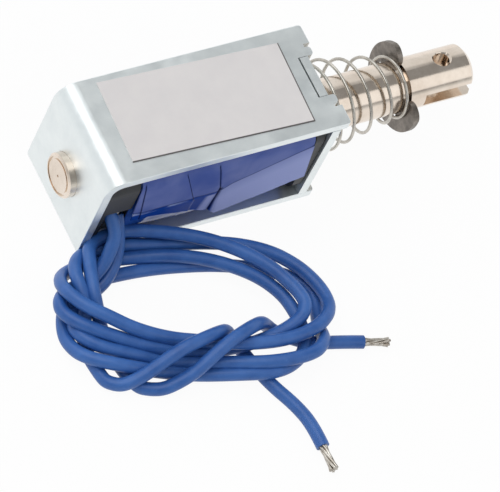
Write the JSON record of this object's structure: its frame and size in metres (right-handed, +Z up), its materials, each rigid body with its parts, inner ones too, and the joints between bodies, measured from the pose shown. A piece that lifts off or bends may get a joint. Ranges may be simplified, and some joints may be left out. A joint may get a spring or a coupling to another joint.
{
  "type": "push pull solenoid",
  "caption": "Open-frame push pull solenoid with a slotted spring-return plunger, blue taped coil and coiled blue lead wires.",
  "frame": {"origin": "middle of the mounting face under the frame, midway between its two tapped holes", "axes": "+X along the plunger towards its slotted end, +Y away from the side the leads leave, +Z up from the mounting face"},
  "size_m": [0.0599, 0.0484, 0.0161],
  "materials": {
    "zinc_steel": "zinc plated, satin",
    "nickel_steel": "nickel plated, turned",
    "black_nylon": "moulded nylon",
    "brass_tube": "drawn",
    "copper_wire": "enamelled copper",
    "blue_tape": "glossy polyester film",
    "label_paper": "satin film label",
    "clip_steel": "oiled spring steel",
    "spring_steel": "drawn wire",
    "solder": "soldered",
    "blue_insulation": "soft PVC",
    "tinned_copper": "tinned strands"
  },
  "bodies": {
    "housing": {"yoke_frame": "zinc_steel", "front_plate": "zinc_steel", "stop_core": "nickel_steel", "bobbin": "black_nylon", "guide_sleeve": "brass_tube", "coil_winding": "copper_wire", "tape_wrap": "blue_tape", "tape_flap": "blue_tape", "label": "label_paper", "return_spring": "spring_steel", "lead_splice_a": "solder", "lead_splice_b": "solder", "wire_a_lead": "blue_insulation", "wire_b_lead": "blue_insulation", "wire_coil": "blue_insulation", "wire_a_tail": "blue_insulation", "wire_b_tail": "blue_insulation", "wire_a_strands": "tinned_copper", "wire_b_strands": "tinned_copper"},
    "clip": {"e_clip": "clip_steel"},
    "plunger": {"plunger": "nickel_steel"}
  },
  "joints": [
    {"name": "plunger_slide", "type": "slide", "parent": "housing", "child": "clip", "axis": [1, 0, 0], "range_m": [-0.01, 0], "stiffness_N_per_m": 80, "deforming": ["return_spring"]},
    {"name": "plunger_spin", "type": "hinge", "parent": "clip", "child": "plunger", "pos_m": [0.0283, 0, 0.008], "axis": [1, 0, 0], "continuous": true}
  ]
}
